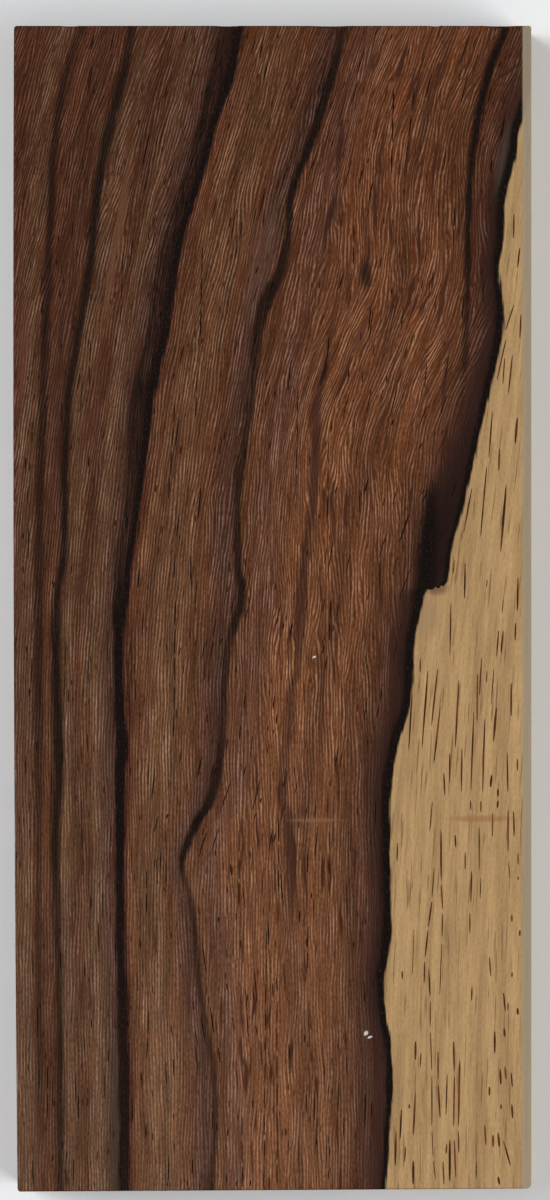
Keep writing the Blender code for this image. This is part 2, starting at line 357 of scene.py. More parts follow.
def rosewood_material():
    """Bare rosewood, as a solid: every face shows the same rings, cut another way."""
    material = bpy.data.materials.new("rosewood")
    material.use_nodes = True
    tree = material.node_tree
    shader = tree.nodes["Principled BSDF"]

    # Place in the wood, in mm
    place = add_node(tree, "ShaderNodeTexCoord")
    in_mm = scaled(tree, place.outputs["Object"], 1.0 / MM)
    x, y, z = add_node(tree, "ShaderNodeSeparateXYZ", {"Vector": in_mm}).outputs[:3]
    depth = reckon(tree, "SUBTRACT", THICKNESS_MM, z)
    along = slope(tree, y, -END_MM, END_MM)

    # The rings lean, and waver more the deeper they are
    lean = slope(tree, x, -SIDE_MM, SIDE_MM, LEAN_LEFT, LEAN_RIGHT)
    leaned = reckon(tree, "MULTIPLY_ADD", depth, lean, x)
    figure = noise_at(tree, (leaned, y, depth), (7.0, 13.0, 9.0), 1.0)
    across = shaken(tree, leaned, figure, product(tree, depth, 0.6))

    # Fibres that fray the sides of each vein
    fibre = noise_at(tree, (across, y, depth), (0.45, 5.0, 0.6), 2.0, 0.6)
    frayed = shaken(tree, across, fibre, 0.9)
    frayed_along = shaken(tree, along, fibre, 0.008)

    # The veins. The main one is browner inside its left half.
    outer = drawn_curve(tree, along, OUTER_VEIN, VEIN_RANGES)
    second = drawn_curve(tree, along, SECOND_VEIN, VEIN_RANGES)
    main = drawn_curve(tree, along, MAIN_VEIN, VEIN_RANGES)
    wandering = drawn_curve(tree, along, WANDERING_VEIN, VEIN_RANGES)
    inner = drawn_curve(tree, along, INNER_VEIN, VEIN_RANGES)
    plum = drawn_curve(tree, along, PLUM_STREAK, VEIN_RANGES)
    tooth = drawn_curve(tree, frayed_along, TOOTH_VEIN, VEIN_RANGES)
    edge = drawn_curve(tree, frayed_along, SAPWOOD_EDGE, EDGE_RANGES)
    main_place = reckon(tree, "DIVIDE", reckon(tree, "SUBTRACT", frayed, main[0]), main[1])
    browner = product(
        tree, rise(tree, main_place, -1.5, -0.9), rise(tree, main_place, 0.0, 0.5, 1.0, 0.0),
        rise(tree, fibre, 0.30, 0.60, 0.05, 0.42), rise(tree, y, -2.0, 5.0),
    )
    veins = product(tree, vein_mask(tree, frayed, main, 0.30, 0.25), reckon(tree, "SUBTRACT", 1.0, browner))
    for vein, soft_left, soft_right in (
        (outer, 0.6, 0.5), (second, 0.8, 0.45), (wandering, 0.5, 0.35),
        (inner, 0.6, 0.3), (tooth, 1.0, 1.0),
    ):
        veins = reckon(tree, "MAXIMUM", veins, vein_mask(tree, frayed, vein, soft_left, soft_right))

    # A ring's own coordinate, the same number all along each vein
    ring = reckon(tree, "MINIMUM", reckon(tree, "SUBTRACT", across, outer[0]), 0.0)
    ring = reckon(tree, "ADD", ring, VEIN_RINGS[0])
    guides = (outer, second, main, wandering, inner, edge)
    for number in range(len(guides) - 1):
        share = slope(tree, across, guides[number][0], guides[number + 1][0])
        ring = reckon(tree, "MULTIPLY_ADD", share, VEIN_RINGS[number + 1] - VEIN_RINGS[number], ring)
    beyond = reckon(tree, "MAXIMUM", reckon(tree, "SUBTRACT", across, edge[0]), 0.0)
    ring = reckon(tree, "ADD", ring, beyond)

    # The grain runs straighter than the veins. Right of the fourth one it leans in two places only.
    climb = reckon(tree, "MAXIMUM", reckon(tree, "SUBTRACT", y, GRAIN_UPRIGHT), 0.0)
    left_lean = product(tree, climb, climb, GRAIN_LEAN)
    right_lean = rise(tree, y, 18.0, 47.0, 0.0, 8.2)
    right_lean = reckon(tree, "ADD", right_lean, rise(tree, y, 54.0, 96.0, 0.0, 11.0))
    crossed = rise(tree, ring, -4.0, 2.0)
    leant = product(tree, left_lean, reckon(tree, "SUBTRACT", 1.0, crossed))
    leant = reckon(tree, "MULTIPLY_ADD", right_lean, crossed, leant)
    normal = add_node(tree, "ShaderNodeSeparateXYZ", {"Vector": place.outputs["Normal"]}).outputs
    on_side = rise(tree, reckon(tree, "ABSOLUTE", normal[0]), 0.5, 0.9)
    grain = reckon(tree, "MULTIPLY_ADD", leant, rise(tree, on_side, 0.0, 1.0, -1.0, -0.12), leaned)

    # The fine pale lines: true at the left, curly in the middle
    curl = product(tree, rise(tree, ring, -16.0, 2.0, 0.25, 0.85), rise(tree, y, -40.0, 25.0, 0.40, 1.0))
    curl = reckon(tree, "MAXIMUM", curl, rise(tree, y, 15.0, 50.0, 0.10, 0.62))
    curl = product(tree, curl, rise(tree, on_side, 0.0, 1.0, 1.0, 0.3))
    bend = noise_at(tree, (grain, y, depth), (3.5, 12.0, 6.0))
    tilt = product(tree, reckon(tree, "SUBTRACT", bend, 0.5), curl, LINE_STRETCH)
    steep = reckon(tree, "SQRT", reckon(tree, "MULTIPLY_ADD", tilt, tilt, 1.0))
    spacing = slope(tree, x, -SIDE_MM, SIDE_MM, *(count / LINE_PATCH for count in LINES_PER_MM))
    wobble = noise_at(tree, (grain, y, depth), (1.8, 8.0, 2.0))
    curled = shaken(tree, grain, wobble, reckon(tree, "MULTIPLY_ADD", curl, 0.8, 0.5))
    gabor = add_node(tree, "ShaderNodeTexGabor", {
        "Vector": point_at(tree, curled, y, 0.0, (1.0, LINE_STRETCH, 1.0)), "Scale": LINE_PATCH,
        "Frequency": product(tree, steep, spacing), "Anisotropy": 0.85,
        "Orientation 2D": reckon(tree, "ARCTANGENT", product(tree, tilt, -1.0)),
    })
    broken = noise_at(tree, (curled, y, depth), (1.4, 8.0, 2.0), 3.0, 0.7)
    lines = rise(tree, gabor.outputs["Value"], 0.40, 0.76)
    lines = product(tree, lines, rise(tree, broken, 0.30, 0.68, 0.30, 1.15))
    contrast = rise(tree, y, -65.0, 55.0, 0.72, 1.24)
    lines = reckon(tree, "MULTIPLY_ADD", reckon(tree, "SUBTRACT", lines, LINE_SHARE), contrast, LINE_SHARE)

    # Streaks and fibres along the grain
    streaks = noise_at(tree, (curled, y, depth), (1.3, 24.0, 4.0), 3.0, 0.6)
    threads = noise_at(tree, (curled, y, depth), (0.26, 5.0, 1.0), 2.0, 0.6)
    grit = noise_at(tree, (curled, y, depth), (0.13, 0.6, 0.13), 1.0, 0.5)
    slits = noise_at(tree, (curled, y, depth), (0.75, 9.0, 1.5), 2.0, 0.6)

    # Heartwood: bands of tint, darker and redder towards the upper end
    ragged = shaken(tree, ring, streaks, 2.4)
    ramp = add_node(tree, "ShaderNodeValToRGB", {"Fac": slope(tree, ragged, RING_FIRST, RING_LAST)})
    stops = ramp.color_ramp.elements
    for ring_place, tint in BANDS[1:-1]:
        stops.new((ring_place - RING_FIRST) / (RING_LAST - RING_FIRST)).color = tint
    stops[0].color = BANDS[0][1]
    stops[-1].color = BANDS[-1][1]
    aged = stain(tree, along, LOWER_TINGE, UPPER_TINGE)
    bands = stain(tree, 1.0, ramp.outputs["Color"], aged, "MULTIPLY")
    dark_wood = stain(tree, 1.0, bands, BETWEEN_LINES, "MULTIPLY")
    pale_line = stain(tree, 1.0, bands, ON_LINES, "MULTIPLY")
    heart = stain(tree, lines, dark_wood, pale_line)
    tone = product(
        tree, rise(tree, streaks, 0.25, 0.75, 0.70, 1.28), rise(tree, threads, 0.2, 0.8, 0.80, 1.18),
        rise(tree, grit, 0.25, 0.75, 0.70, 1.29),
    )
    heart = scaled(tree, heart, tone)

    slits = product(tree, rise(tree, slits, 0.56, 0.69), rise(tree, ring, -8.0, 2.0, 0.50, 1.0))
    heart = stain(tree, slits, heart, SLIT_RED)

    # The plum haze and the black border towards the sapwood
    from_edge = reckon(tree, "SUBTRACT", frayed, edge[0])
    haze = rise(tree, from_edge, product(tree, edge[2], -1.0), -0.8)
    heart = stain(tree, product(tree, haze, 0.90), heart, DARK_PLUM)
    deeper = product(
        tree, rise(tree, from_edge, -3.6, -1.0), rise(tree, y, -62.0, -50.0, 0.08, 0.60),
        rise(tree, y, 52.0, 64.0, 1.0, 0.2),
    )
    heart = stain(tree, deeper, heart, BLACK_PLUM)

    # The streak and the marks, then the veins and the border over them
    heart = stain(tree, vein_mask(tree, frayed, plum, 0.5, 0.35), heart, DARK_PLUM)
    mark_place = point_at(tree, shaken(tree, x, fibre, 0.8), y, depth)
    heart = marked(tree, heart, mark_place, HEART_MARKS)
    border_starts = product(tree, edge[1], -1.0)
    border_full = product(tree, edge[1], -0.45)
    border = rise(tree, from_edge, border_starts, border_full)
    heart = stain(tree, product(tree, veins, 0.985), heart, VEIN_BLACK)
    heart = stain(tree, border, heart, VEIN_BLACK)
    black = reckon(tree, "MAXIMUM", veins, border)
    dusty = product(tree, rise(tree, grit, 0.58, 0.78, 0.0, 0.8), black)
    heart = stain(tree, dusty, heart, VEIN_DUST)

    # Sapwood, with a straight grain of its own
    drift = reckon(tree, "MULTIPLY_ADD", product(tree, y, y), -SAP_BEND, product(tree, y, -SAP_LEAN))
    straight = reckon(tree, "ADD", across, drift)
    sap_streaks = noise_at(tree, (straight, y, depth), (1.6, 26.0, 4.0), 3.0, 0.6)
    sap_threads = noise_at(tree, (straight, y, depth), (0.25, 4.0, 0.5), 2.0, 0.6)
    sap = stain(tree, rise(tree, sap_streaks, 0.25, 0.70), SAP_DEEP, SAP_PALE)
    sap_tone = rise(tree, sap_threads, 0.2, 0.8, 0.86, 1.10)
    sap_tone = product(tree, sap_tone, rise(tree, grit, 0.25, 0.75, 0.90, 1.08))
    sap = scaled(tree, sap, sap_tone)
    faint = noise_at(tree, (straight, y, depth), (0.30, 8.0, 1.0))
    sap = stain(tree, rise(tree, faint, 0.59, 0.69, 0.0, 0.75), sap, FAINT_VESSEL)
    sap = marked(tree, sap, mark_place, SAP_MARKS)
    wood = stain(tree, rise(tree, from_edge, -0.15, 0.20), heart, sap)
    for fleck in FLECKS:
        wood = stain(tree, mark_mask(tree, mark_place, *fleck), wood, FLECK_WHITE)

    # Narrow pores, too fine to be cut in the mesh, as short dark dashes along the grain
    cells = add_node(tree, "ShaderNodeTexVoronoi", {
        "Vector": point_at(tree, curled, y, depth, (0.62, 4.5, 0.7)), "Scale": 1.0,
    })
    pores = rise(tree, cells.outputs["Distance"], 0.08, 0.16, 0.8, 0.0)
    pores = product(tree, pores, rise(tree, from_edge, -0.2, 0.0, 1.0, 0.0))
    wood = stain(tree, pores, wood, PORE_BLACK)

    # The rounded arris on the right is painted grey: painted shade where it turns away from the light,
    # fading out down the side
    arris_shade = rise(tree, x, SIDE_MM - 1.32, SIDE_MM - 1.02)
    arris_shade = product(tree, arris_shade, rise(tree, depth, 1.2, 2.6, 0.85, 0.0))
    wood = stain(tree, arris_shade, wood, ARRIS_PAINTED_SHADE)

    # End grain drinks in more grime; its pores show as the round holes cut in the ends of the mesh
    on_end = rise(tree, reckon(tree, "ABSOLUTE", normal[1]), 0.5, 0.9)
    wood = stain(tree, product(tree, on_end, 0.85), wood, END_GRIME, "MULTIPLY")

    tree.links.new(wood, shader.inputs["Base Color"])
    roughness = rise(tree, threads, 0.2, 0.8, 0.58, 0.74)
    tree.links.new(roughness, shader.inputs["Roughness"])
    shader.inputs["Specular IOR Level"].default_value = WOOD_SHINE
    relief = noise_at(tree, (x, y, z), (0.16, 3.0, 0.16), 3.0, 0.6)
    inputs = {"Height": relief, "Strength": 0.4, "Distance": FIBRE_HEIGHT * MM}
    bump = add_node(tree, "ShaderNodeBump", inputs)
    tree.links.new(bump.outputs[0], shader.inputs["Normal"])
    return material


def gum_material(name, dark, bright):
    """Dried gum that lines an open pore, darker in some places than in others."""
    material = bpy.data.materials.new(name)
    material.use_nodes = True
    tree = material.node_tree
    shader = tree.nodes["Principled BSDF"]
    place = add_node(tree, "ShaderNodeTexCoord").outputs["Object"]
    place = add_node(tree, "ShaderNodeSeparateXYZ", {"Vector": place}).outputs[:3]
    spots = noise_at(tree, place, (0.8 * MM, 5.0 * MM, MM))
    gum = stain(tree, rise(tree, spots, 0.40, 0.65), dark, bright)
    tree.links.new(gum, shader.inputs["Base Color"])
    shader.inputs["Roughness"].default_value = 0.6
    shader.inputs["Specular IOR Level"].default_value = WOOD_SHINE
    return material


# Sapwood vessels open on the show face: the x and y of the upper end, those of the lower end, and the width
SAP_VESSELS = (
    (31.1, 51.0, 31.0, 47.2, 0.22), (31.8, 46.5, 31.5, 43.6, 0.22), (31.1, 39.3, 29.9, 35.5, 0.20),
    (32.0, 38.0, 31.8, 34.3, 0.20), (30.1, 34.9, 28.8, 29.0, 0.18), (30.9, 32.9, 30.3, 27.2, 0.20),
    (29.9, 32.4, 29.6, 28.5, 0.20), (28.3, 25.6, 27.8, 18.9, 0.20), (31.5, 24.7, 31.2, 20.8, 0.26),
    (29.2, 20.7, 29.1, 17.5, 0.22), (27.6, 18.7, 26.7, 8.5, 0.20), (30.1, 16.2, 29.3, 6.7, 0.26),
    (25.7, 15.7, 24.5, 9.2, 0.20), (25.5, 13.6, 25.4, 9.7, 0.16), (23.4, 6.3, 23.2, 4.0, 0.14),
    (24.8, 6.1, 24.7, 1.0, 0.20), (31.6, 4.2, 31.5, -0.5, 0.22), (27.6, 3.8, 27.5, 2.4, 0.14),
    (29.7, 1.4, 29.5, -0.9, 0.12), (23.0, 1.1, 22.8, -6.6, 0.22), (31.3, -1.7, 31.2, -4.3, 0.20),
    (29.1, -2.6, 28.8, -6.6, 0.20), (29.7, -2.7, 29.4, -5.9, 0.24), (26.9, -6.1, 26.6, -11.7, 0.24),
    (19.0, -6.3, 19.0, -8.4, 0.16), (21.3, -7.4, 20.4, -15.6, 0.22), (28.5, -7.4, 28.1, -12.8, 0.14),
    (20.0, -7.6, 19.2, -18.4, 0.20), (27.6, -7.9, 27.5, -9.7, 0.14), (26.4, -8.1, 26.3, -15.0, 0.24),
    (24.0, -8.9, 23.5, -18.4, 0.20), (30.7, -9.4, 30.7, -14.3, 0.20), (18.0, -10.4, 17.5, -18.7, 0.20),
    (21.6, -12.3, 20.7, -20.4, 0.20), (28.8, -12.5, 28.4, -17.4, 0.28), (25.9, -12.8, 25.5, -24.1, 0.22),
    (27.3, -13.8, 27.0, -24.3, 0.20), (28.6, -16.1, 28.0, -21.5, 0.12), (24.4, -17.7, 24.3, -24.1, 0.20),
    (30.2, -18.2, 30.3, -24.1, 0.20), (22.8, -18.4, 22.8, -22.8, 0.22), (31.5, -19.2, 31.5, -21.3, 0.18),
    (27.5, -20.0, 27.4, -20.7, 0.20), (22.0, -21.0, 22.2, -24.3, 0.20), (28.2, -21.3, 28.0, -23.3, 0.24),
    (29.0, -23.1, 29.0, -24.3, 0.22), (20.6, -24.6, 20.2, -29.0, 0.18), (25.5, -24.6, 25.5, -26.1, 0.20),
    (26.8, -24.6, 26.8, -26.4, 0.18), (29.0, -24.6, 28.9, -25.9, 0.22), (30.3, -25.6, 30.3, -31.8, 0.20),
    (31.0, -25.9, 31.1, -29.5, 0.20), (28.3, -26.1, 28.3, -29.5, 0.20), (26.6, -27.8, 26.6, -34.1, 0.18),
    (21.7, -28.1, 21.7, -35.4, 0.20), (23.5, -29.0, 23.6, -31.0, 0.20), (16.1, -30.0, 16.0, -32.8, 0.16),
    (24.8, -31.2, 24.8, -33.9, 0.18), (31.6, -31.4, 31.6, -33.1, 0.20), (30.4, -32.3, 30.5, -34.9, 0.12),
    (20.8, -33.1, 20.5, -37.5, 0.14), (25.6, -33.6, 25.5, -38.0, 0.20), (26.8, -34.4, 26.7, -37.5, 0.14),
    (31.6, -34.4, 31.6, -35.0, 0.22), (21.7, -35.4, 21.9, -39.0, 0.20), (20.5, -37.5, 20.0, -41.3, 0.18),
    (21.9, -39.0, 21.8, -42.6, 0.16), (25.4, -39.0, 25.4, -42.1, 0.20), (30.8, -39.3, 30.8, -40.5, 0.24),
    (18.2, -40.8, 18.0, -47.7, 0.12), (20.0, -41.3, 19.6, -45.2, 0.20), (31.8, -41.3, 31.8, -42.3, 0.20),
    (21.8, -42.6, 21.5, -50.3, 0.16), (27.9, -44.7, 28.1, -47.7, 0.20), (19.6, -45.2, 19.5, -48.5, 0.16),
    (20.1, -46.2, 20.3, -50.3, 0.20), (16.7, -46.5, 16.7, -48.0, 0.22), (30.8, -46.7, 30.8, -47.7, 0.20),
    (25.7, -48.5, 25.6, -50.6, 0.20), (29.7, -49.3, 30.0, -52.1, 0.24), (21.5, -49.5, 21.3, -56.7, 0.14),
    (20.3, -50.3, 20.3, -54.2, 0.18), (30.3, -50.6, 30.3, -51.9, 0.18), (31.5, -51.3, 31.6, -52.4, 0.24),
    (29.8, -53.9, 29.9, -55.2, 0.26), (20.3, -54.2, 20.5, -59.8, 0.16), (28.6, -54.2, 28.6, -57.5, 0.24),
    (18.4, -55.5, 18.4, -58.3, 0.24), (23.3, -55.5, 23.4, -59.8, 0.22), (21.3, -56.7, 21.3, -61.1, 0.18),
    (19.1, -57.0, 19.0, -59.1, 0.20), (24.1, -57.8, 23.9, -67.0, 0.26), (29.9, -58.8, 30.1, -60.9, 0.24),
    (29.3, -59.1, 29.4, -61.4, 0.24), (22.5, -59.6, 22.3, -65.5, 0.16), (30.7, -59.6, 30.9, -61.9, 0.24),
    (20.5, -59.8, 20.5, -67.0, 0.16), (23.4, -59.8, 23.3, -67.0, 0.20), (21.3, -61.1, 21.6, -66.0, 0.22),
    (27.9, -61.4, 27.9, -62.9, 0.26), (18.4, -61.9, 18.1, -68.1, 0.22), (17.6, -63.7, 17.6, -64.5, 0.22),
    (29.4, -63.7, 29.4, -64.5, 0.22), (30.8, -63.7, 30.9, -65.8, 0.26), (16.6, -64.2, 16.4, -68.6, 0.20),
    (27.3, -66.3, 27.5, -69.4, 0.22), (20.5, -67.0, 20.7, -70.9, 0.14), (23.9, -67.0, 24.0, -70.4, 0.18),
    (15.9, -67.0, 15.8, -72.2, 0.22), (29.0, -67.3, 29.2, -69.4, 0.26), (28.4, -67.6, 28.4, -69.4, 0.26),
    (23.4, -68.1, 23.6, -73.7, 0.22), (22.8, -68.1, 22.8, -74.0, 0.28), (29.7, -68.3, 30.7, -71.9, 0.20),
    (22.4, -68.8, 22.3, -70.4, 0.22), (17.1, -69.1, 17.0, -71.4, 0.18), (20.7, -70.9, 21.0, -73.7, 0.14),
    (21.9, -70.9, 22.1, -74.5, 0.22), (18.1, -70.9, 18.1, -74.5, 0.28), (26.2, -70.9, 26.2, -73.7, 0.14),
    (29.0, -73.0, 29.3, -74.5, 0.26),
)
# The longest open pores of the heartwood, given the same way
HEART_PORES = (
    (15.6, 67.0, 15.3, 55.8, 0.20), (18.3, 67.0, 17.1, 57.1, 0.20), (-12.5, 26.8, -13.4, 13.7, 0.20),
    (-12.0, 12.2, -12.4, 8.8, 0.24), (-12.5, 1.1, -12.7, -16.9, 0.20), (7.5, 1.1, 7.3, -4.5, 0.20),
    (-7.3, -1.2, -8.0, -6.7, 0.20), (-26.5, -4.0, -26.8, -11.7, 0.16), (-24.5, -24.6, -24.5, -34.9, 0.16),
    (0.8, -26.8, 0.8, -36.9, 0.20), (-0.8, -41.4, -1.1, -74.8, 0.16), (0.6, -50.3, 0.6, -74.8, 0.18),
    (-28.9, -58.7, -28.9, -65.8, 0.18), (-3.9, -65.1, -3.9, -74.8, 0.18), (-25.6, -70.6, -25.6, -74.8, 0.18),
    (-4.3, -28.3, -4.3, -38.5, 0.18), (-1.1, -32.8, -1.4, -37.7, 0.16), (-3.5, -48.4, -3.1, -55.5, 0.20),
    (-13.7, -28.3, -13.7, -36.2, 0.16), (-15.1, -41.3, -15.1, -45.2, 0.18), (4.6, -40.7, 4.4, -47.4, 0.20),
    (7.3, -28.3, 7.3, -37.5, 0.16), (9.5, -35.0, 9.6, -40.2, 0.16), (9.4, -54.0, 9.6, -60.5, 0.18),
    (-16.2, -33.6, -16.2, -39.4, 0.18), (-15.9, -51.6, -16.2, -58.3, 0.18), (10.5, 49.5, 10.4, 43.8, 0.18),
    (23.4, 51.8, 23.3, 46.1, 0.18), (20.2, 42.3, 20.1, 39.5, 0.16), (16.9, 39.2, 16.5, 35.6, 0.18),
    (12.7, 39.2, 12.3, 35.2, 0.20), (22.8, 33.3, 22.2, 29.4, 0.20), (3.3, 28.0, 3.0, 14.0, 0.18),
    (7.2, 21.7, 7.1, 11.4, 0.18), (11.3, 15.6, 11.1, 11.9, 0.22), (10.9, 20.8, 10.8, 18.0, 0.18),
    (13.8, 6.3, 13.8, 2.4, 0.18), (-19.2, 46.1, -19.6, 35.9, 0.16), (-9.0, 46.8, -9.3, 34.6, 0.18),
    (-9.7, 30.7, -9.9, 24.3, 0.16), (-23.4, 34.6, -23.6, 28.1, 0.16),
)
VESSEL_SWELL = 1.30         # a vessel is this much wider at its middle than on average
MORE_PORES = 560            # shorter pores that are scattered over the heartwood of each broad face
BACK_VESSELS = 70           # vessels in the sapwood of the back
BACK_WIDTH = 0.27
SIDE_PORES = 40             # pores in each long side
END_PORES = 150             # pores cut across, in each end
PORE_SEED = 11
PORE_STRETCH = 3.5          # the longest stretch of a heartwood pore that is open without a break
VESSEL_STRETCH = 14.0       # the same for a vessel of the sapwood
PORE_WALL = 0.08            # the least wood there is between two open pores
PORE_SUNK = 0.02            # how far below a face the middles of its pores lie
PORE_SPAN = 0.96            # the share of the length in which the pores of the back and the sides start
SHOW_LEVEL = THICKNESS_MM - PORE_SUNK
BACK_LEVEL = PORE_SUNK
HEART_GUM = ((0.010, 0.0045, 0.0032, 1.0), (0.036, 0.016, 0.0100, 1.0))
SAP_GUM = ((0.095, 0.040, 0.0170, 1.0), (0.280, 0.105, 0.0380, 1.0))

# The sawn shape, in mm
END_SKEW = 0.40             # the lower end slants up this much from left to right
LEFT_HOLLOW = 0.56          # the left edge draws in this much at the lower end
LEFT_CREST_Y = 33.3         # where along the grain the left edge stands out furthest
ARRIS_ROUND = 1.4           # right edge of the show face, rubbed round
ARRIS_EASED = 0.35          # every other long edge
CORNER_RADII = {(1, 1): 0.3, (1, -1): 0.6, (-1, 1): 0.4, (-1, -1): 0.4}
ROUND_SEGMENTS = 5
SAME_PLACE = 0.01           # two corners whose x or y differ by less than this share a side
SLICES_ALONG = 50
SLICES_ACROSS = 12

# Splinters lost from the upper end of the show face: middle in X, length, depth, in mm
CHIPS = (
    (-26.1, 2.7, 0.32), (-5.8, 3.3, 0.42), (7.4, 5.2, 0.38), (20.9, 1.5, 0.30), (29.3, 4.6, 0.45),
)
CHIP_HEIGHT = 1.1           # how far a splinter reaches down the end grain
NICKS = 22                  # small dents along the arrises
NICK_SPAN = 0.97            # the share of the length that they lie in


def easing_radius(first, second):
    """Radius, in mm, that one edge of the square blank is eased to. Its ends are given in mm."""
    side = round(first.x / SIDE_MM, 3) if abs(first.x - second.x) < SAME_PLACE else 0
    end = round(first.y / END_MM, 3) if abs(first.y - second.y) < SAME_PLACE else 0
    upright = abs(first.z - second.z) > 1.0
    if abs(side) == 1 and abs(end) == 1:
        return CORNER_RADII[int(side), int(end)]
    if upright or (abs(side) != 1 and abs(end) != 1):
        return 0.0
    return ARRIS_ROUND if side == 1 and first.z > 1.0 else ARRIS_EASED


def cut_away(piece, cutter, overlapping=False):
    """Cuts the cutter out of the piece, keeps the cutter's finish on the cut, and removes the cutter."""
    cut = piece.modifiers.new(cutter.name, "BOOLEAN")
    cut.operation = "DIFFERENCE"
    cut.solver = "EXACT"
    cut.use_self = overlapping
    cut.material_mode = "TRANSFER"
    cut.object = cutter
    bpy.context.view_layer.objects.active = piece
    bpy.ops.object.modifier_apply(modifier=cut.name)
    bpy.data.objects.remove(cutter, do_unlink=True)


def spindle_cutter(name, spindles, finish):
    """Copies of one spindle, joined. Each is (middle, direction, length, width, depth), in mm."""
    bpy.ops.object.select_all(action="DESELECT")
    bpy.ops.mesh.primitive_uv_sphere_add(segments=6, ring_count=5, radius=0.5)
    cutter = bpy.context.object
    cutter.name = name
    cutter.data.materials.append(finish)
    for index, (middle, direction, length, width, depth) in enumerate(spindles):
        spindle = cutter
        if index:
            spindle = cutter.copy()
            spindle.data = cutter.data.copy()
            bpy.context.scene.collection.objects.link(spindle)
            spindle.select_set(True)
        turn = direction.to_track_quat("Z", "Y")
        size = Vector((width, depth, length)) * MM
        spindle.matrix_world = Matrix.LocRotScale(Vector(middle) * MM, turn, size)
    bpy.ops.object.join()
    return cutter


# The blank is sliced so that its edges can follow the saw, and eased while it is still square
bpy.ops.object.select_all(action="DESELECT")
block_middle = (BLOCK_LOW + BLOCK_HIGH) / 2
block_size = BLOCK_HIGH - BLOCK_LOW
bpy.ops.mesh.primitive_cube_add(size=1.0, location=block_middle, scale=block_size)
block = bpy.context.object
block.name = "rosewood"
block.data.materials.append(rosewood_material())
bpy.ops.object.transform_apply(location=True, rotation=True, scale=True)
bpy.ops.object.mode_set(mode="EDIT")
for step in range(1, SLICES_ALONG):
    bpy.ops.mesh.select_all(action="SELECT")
    height = (2 * step / SLICES_ALONG - 1) * END_MM * MM
    bpy.ops.mesh.bisect(plane_co=(0.0, height, 0.0), plane_no=(0.0, 1.0, 0.0))
for step in range(1, SLICES_ACROSS):
    bpy.ops.mesh.select_all(action="SELECT")
    width = (2 * step / SLICES_ACROSS - 1) * SIDE_MM * MM
    bpy.ops.mesh.bisect(plane_co=(width, 0.0, 0.0), plane_no=(1.0, 0.0, 0.0))
bpy.ops.mesh.select_mode(type="EDGE")
for radius in sorted({ARRIS_ROUND, ARRIS_EASED, *CORNER_RADII.values()}):
    bpy.ops.mesh.select_all(action="DESELECT")
    bpy.ops.object.mode_set(mode="OBJECT")
    points = [vert.co / MM for vert in block.data.vertices]
    for edge in block.data.edges:
        edge.select = easing_radius(*(points[index] for index in edge.vertices)) == radius
    bpy.ops.object.mode_set(mode="EDIT")
    bpy.ops.transform.edge_bevelweight(value=radius / ARRIS_ROUND)
bpy.ops.object.mode_set(mode="OBJECT")

# The saw cuts weren't quite true
for vert in block.data.vertices:
    from_crest = (vert.co.y / MM - LEFT_CREST_Y) / (LEFT_CREST_Y + END_MM)
    if vert.co.x < -SIDE_MM * MM * 0.999:
        vert.co.x += LEFT_HOLLOW * MM * from_crest ** 2
    if vert.co.y < -END_MM * MM * 0.999:
        vert.co.y += END_SKEW * MM * (vert.co.x / MM / SIDE_MM + 1) / 2

easing = block.modifiers.new("eased edges", "BEVEL")
easing.limit_method = "WEIGHT"
easing.width = ARRIS_ROUND * MM
easing.segments = ROUND_SEGMENTS
bpy.ops.object.modifier_apply(modifier=easing.name)

# Splinters torn from the upper end, each a scoop with two slivers beside it, and nicks in the arrises
dice = random.Random(PORE_SEED)


def somewhere(reach):
    """A random place within the reach, on either side of the middle."""
    return reach * (2.0 * dice.random() - 1.0)


sideways = Vector((1.0, 0.0, 0.0))
scoops = []
for middle, length, depth in CHIPS:
    scoops.append(((middle, END_MM, THICKNESS_MM), sideways, length, 2 * depth, 2 * CHIP_HEIGHT))
    for side in (-1, 1):
        sliver_x = middle + side * (0.62 + 0.1 * dice.random()) * length
        sliver_height = CHIP_HEIGHT * dice.random()
        scoops.append(((sliver_x, END_MM, THICKNESS_MM), sideways, 0.2 * length, depth, sliver_height))
for number in range(NICKS):
    arris_x, arris_z = dice.choice(((-SIDE_MM, THICKNESS_MM), (-SIDE_MM, 0.0), (SIDE_MM, 0.0)))
    height = somewhere(END_MM) * NICK_SPAN
    arris_x += LEFT_HOLLOW / 2 if arris_x < 0 else 0.0
    size = 0.30 + 0.35 * dice.random()
    scoops.append(((arris_x, height, arris_z), Vector((0.0, 1.0, 0.1)), 3.0 * size, size, size))
cut_away(block, spindle_cutter("torn splinters", scoops, block.data.materials[0]), overlapping=True)


def across_at(stations, height):
    """Where a vein crosses one height along the grain, in mm."""
    for upper, lower in zip(stations, stations[1:]):
        if height >= lower[0]:
            share = (upper[0] - height) / (upper[0] - lower[0])
            return upper[1] + (lower[1] - upper[1]) * share
    return stations[-1][1]


def sap_drift(height):
    """How far the straight grain of the sapwood has moved across by one height, in mm."""
    return SAP_LEAN * height + SAP_BEND * height ** 2


def along_grain(x, height, new_height):
    """Where the grain that passes through a place comes to at another height, in mm."""
    guides = (OUTER_VEIN, SECOND_VEIN, MAIN_VEIN, WANDERING_VEIN, INNER_VEIN, SAPWOOD_EDGE)
    before = [across_at(guide, height) for guide in guides]
    after = [across_at(guide, new_height) for guide in guides]
    for left in range(len(guides) - 1):
        if before[left] < x <= before[left + 1]:
            share = (x - before[left]) / (before[left + 1] - before[left])
            return after[left] + share * (after[left + 1] - after[left])
    if x <= before[0]:
        return x + after[0] - before[0]
    return x + sap_drift(new_height) - sap_drift(height)


